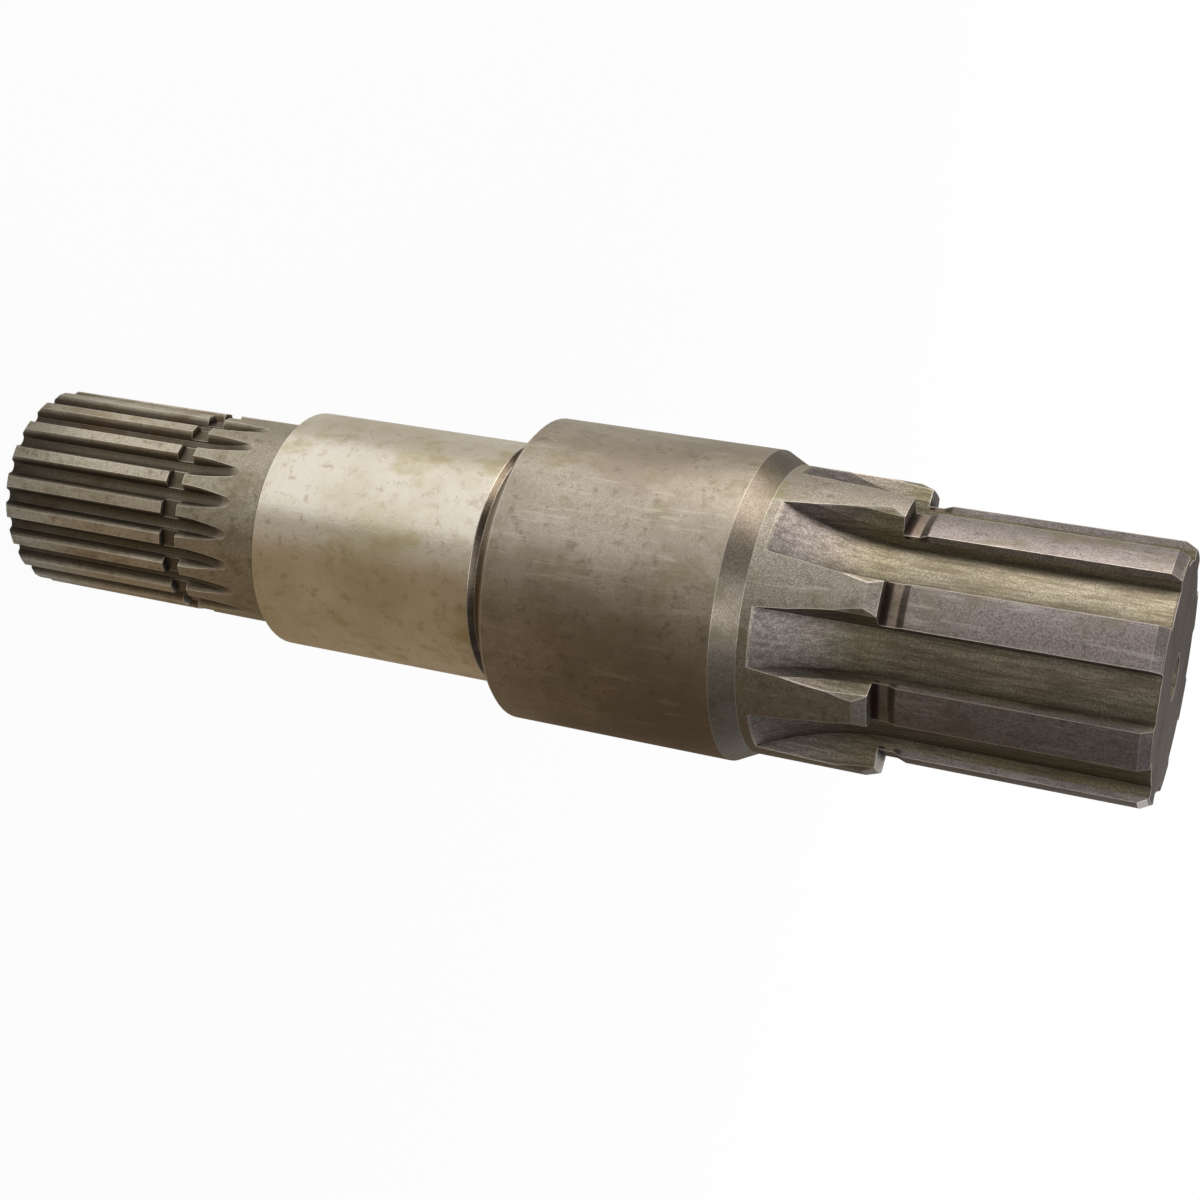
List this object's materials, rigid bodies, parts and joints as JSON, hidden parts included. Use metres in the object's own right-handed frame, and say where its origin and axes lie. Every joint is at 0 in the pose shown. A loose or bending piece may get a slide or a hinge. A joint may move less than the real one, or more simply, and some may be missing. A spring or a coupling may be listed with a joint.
{
  "type": "splined shaft",
  "caption": "Stepped steel transmission shaft with a straight-sided spline at one end, a fine involute spline at the other, and a journal and bearing seat between.",
  "frame": {"origin": "centre of the end face at the fine-spline end, on which the shaft stands", "axes": "+Z along the shaft axis towards the straight-sided spline; -Y points through the middle of one straight-sided tooth"},
  "size_m": [0.06, 0.06, 0.238],
  "materials": {
    "shaft_steel": "used alloy steel, hardened and ground on the journal and the bearing seat, oily grey-brown elsewhere"
  },
  "bodies": {
    "root": {"splined_shaft": "shaft_steel"}
  },
  "joints": []
}
